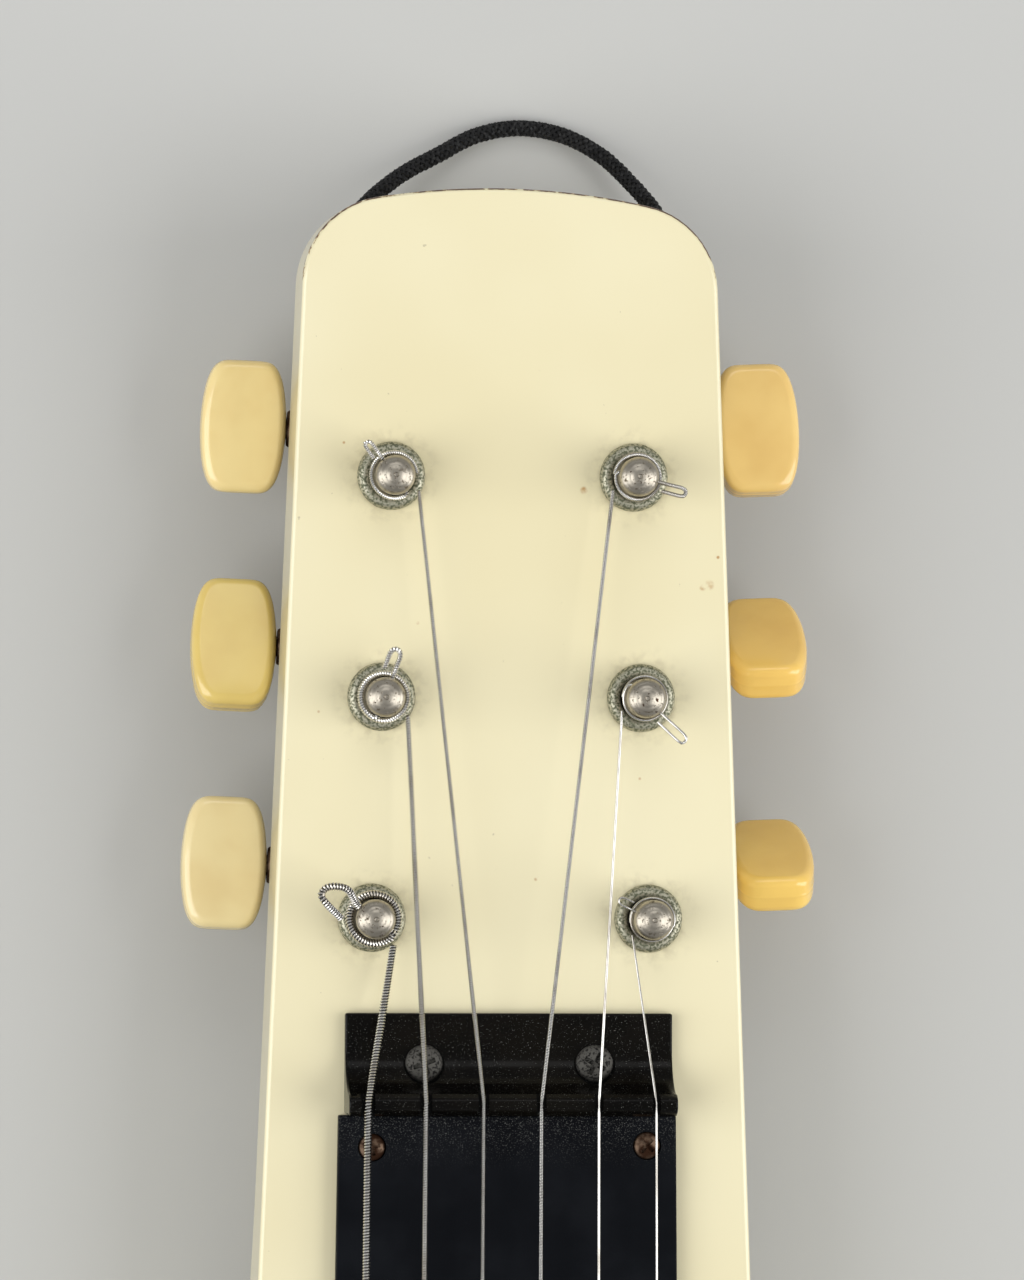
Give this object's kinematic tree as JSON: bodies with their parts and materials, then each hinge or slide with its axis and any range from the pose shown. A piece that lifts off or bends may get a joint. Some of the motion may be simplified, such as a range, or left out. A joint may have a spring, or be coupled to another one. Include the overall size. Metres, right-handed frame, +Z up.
{
  "type": "lap steel guitar",
  "caption": "Solid-body lap steel guitar with open worm-gear tuners, raised nut and bridge, fretboard, pickup, two knobs, jack and a hanging cord.",
  "frame": {"origin": "under the middle of the instrument's outline, on the surface that its flat back lies on", "axes": "+X across the strings to the treble side, +Y along the instrument to its head, +Z up through the face"},
  "size_m": [0.175, 0.7979, 0.0542],
  "materials": {
    "cream_lacquer": "cream lacquer over wood, aged, satin gloss",
    "black_moulding": "gloss black",
    "fretboard_black": "semi-matte black with fine dust",
    "button_plastic": "yellowed cream plastic",
    "worn_steel": "worn nickel-plated steel",
    "ferrule_metal": "dull pitted plating",
    "wheel_brass": "dull machined brass",
    "string_steel": "bright string wire",
    "cover_chrome": "bright chrome",
    "knob_black": "gloss black",
    "coil_wrap": "black tape",
    "cord_braid": "black braided cord"
  },
  "bodies": {
    "instrument": {"body": "cream_lacquer", "nut": "black_moulding", "fretboard": "fretboard_black", "tuner_plate_bass": "worn_steel", "tuner_plate_treble": "worn_steel", "bridge": "black_moulding", "pickup_cover": "cover_chrome", "pickup_coil": "coil_wrap", "control_plate": "cover_chrome", "volume_pot": "worn_steel", "tone_pot": "worn_steel", "jack_socket": "cover_chrome", "cord_bracket": "worn_steel", "hang_cord": "cord_braid", "ferrule_1": "ferrule_metal", "ferrule_2": "ferrule_metal", "ferrule_3": "ferrule_metal", "ferrule_4": "ferrule_metal", "ferrule_5": "ferrule_metal", "ferrule_6": "ferrule_metal", "string_1": "string_steel", "string_2": "string_steel", "string_3": "string_steel", "string_4": "string_steel", "string_5": "string_steel", "string_6": "string_steel"},
    "tuner_shaft_1": {"worm_shaft_1": "worn_steel", "button_1": "button_plastic"},
    "tuner_post_1": {"post_1": "worn_steel", "worm_wheel_1": "wheel_brass", "string_wrap_1": "string_steel"},
    "tuner_shaft_2": {"worm_shaft_2": "worn_steel", "button_2": "button_plastic"},
    "tuner_post_2": {"post_2": "worn_steel", "worm_wheel_2": "wheel_brass", "string_wrap_2": "string_steel"},
    "tuner_shaft_3": {"worm_shaft_3": "worn_steel", "button_3": "button_plastic"},
    "tuner_post_3": {"post_3": "worn_steel", "worm_wheel_3": "wheel_brass", "string_wrap_3": "string_steel"},
    "tuner_shaft_4": {"worm_shaft_4": "worn_steel", "button_4": "button_plastic"},
    "tuner_post_4": {"post_4": "worn_steel", "worm_wheel_4": "wheel_brass", "string_wrap_4": "string_steel"},
    "tuner_shaft_5": {"worm_shaft_5": "worn_steel", "button_5": "button_plastic"},
    "tuner_post_5": {"post_5": "worn_steel", "worm_wheel_5": "wheel_brass", "string_wrap_5": "string_steel"},
    "tuner_shaft_6": {"worm_shaft_6": "worn_steel", "button_6": "button_plastic"},
    "tuner_post_6": {"post_6": "worn_steel", "worm_wheel_6": "wheel_brass", "string_wrap_6": "string_steel"},
    "volume_control": {"volume_knob": "knob_black", "volume_shaft": "worn_steel"},
    "tone_control": {"tone_knob": "knob_black", "tone_shaft": "worn_steel"}
  },
  "joints": [
    {"name": "button_turn_1", "type": "hinge", "parent": "instrument", "child": "tuner_shaft_1", "pos_m": [0.02213, 0.28402, 0.017], "axis": [0.9992, 0.039, 0], "continuous": true},
    {"name": "post_turn_1", "type": "hinge", "parent": "instrument", "child": "tuner_post_1", "pos_m": [0.02242, 0.27683, 0.017], "axis": [0, 0, 1], "continuous": true},
    {"name": "button_turn_2", "type": "hinge", "parent": "instrument", "child": "tuner_shaft_2", "pos_m": [0.02077, 0.31899, 0.017], "axis": [0.9992, 0.039, 0], "continuous": true},
    {"name": "post_turn_2", "type": "hinge", "parent": "instrument", "child": "tuner_post_2", "pos_m": [0.02105, 0.3118, 0.017], "axis": [0, 0, 1], "continuous": true},
    {"name": "button_turn_3", "type": "hinge", "parent": "instrument", "child": "tuner_shaft_3", "pos_m": [0.01941, 0.35397, 0.017], "axis": [0.9992, 0.039, 0], "continuous": true},
    {"name": "post_turn_3", "type": "hinge", "parent": "instrument", "child": "tuner_post_3", "pos_m": [0.01969, 0.34677, 0.017], "axis": [0, 0, 1], "continuous": true},
    {"name": "button_turn_4", "type": "hinge", "parent": "instrument", "child": "tuner_shaft_4", "pos_m": [-0.01861, 0.35397, 0.017], "axis": [-0.9992, 0.039, 0], "continuous": true},
    {"name": "post_turn_4", "type": "hinge", "parent": "instrument", "child": "tuner_post_4", "pos_m": [-0.01889, 0.34677, 0.017], "axis": [0, 0, 1], "continuous": true},
    {"name": "button_turn_5", "type": "hinge", "parent": "instrument", "child": "tuner_shaft_5", "pos_m": [-0.01997, 0.31899, 0.017], "axis": [-0.9992, 0.039, 0], "continuous": true},
    {"name": "post_turn_5", "type": "hinge", "parent": "instrument", "child": "tuner_post_5", "pos_m": [-0.02025, 0.3118, 0.017], "axis": [0, 0, 1], "continuous": true},
    {"name": "button_turn_6", "type": "hinge", "parent": "instrument", "child": "tuner_shaft_6", "pos_m": [-0.02133, 0.28402, 0.017], "axis": [-0.9992, 0.039, 0], "continuous": true},
    {"name": "post_turn_6", "type": "hinge", "parent": "instrument", "child": "tuner_post_6", "pos_m": [-0.02161, 0.27683, 0.017], "axis": [0, 0, 1], "continuous": true},
    {"name": "volume_turn", "type": "hinge", "parent": "instrument", "child": "volume_control", "pos_m": [0.061, -0.226, 0.03965], "axis": [0, 0, 1], "range_deg": [-150, 150]},
    {"name": "tone_turn", "type": "hinge", "parent": "instrument", "child": "tone_control", "pos_m": [0.061, -0.26, 0.03965], "axis": [0, 0, 1], "range_deg": [-150, 150]}
  ],
  "couplings": [
    {"joint": "post_turn_1", "follows": "button_turn_1", "ratio": -0.071429},
    {"joint": "post_turn_2", "follows": "button_turn_2", "ratio": -0.071429},
    {"joint": "post_turn_3", "follows": "button_turn_3", "ratio": -0.071429},
    {"joint": "post_turn_4", "follows": "button_turn_4", "ratio": 0.071429},
    {"joint": "post_turn_5", "follows": "button_turn_5", "ratio": 0.071429},
    {"joint": "post_turn_6", "follows": "button_turn_6", "ratio": 0.071429}
  ]
}
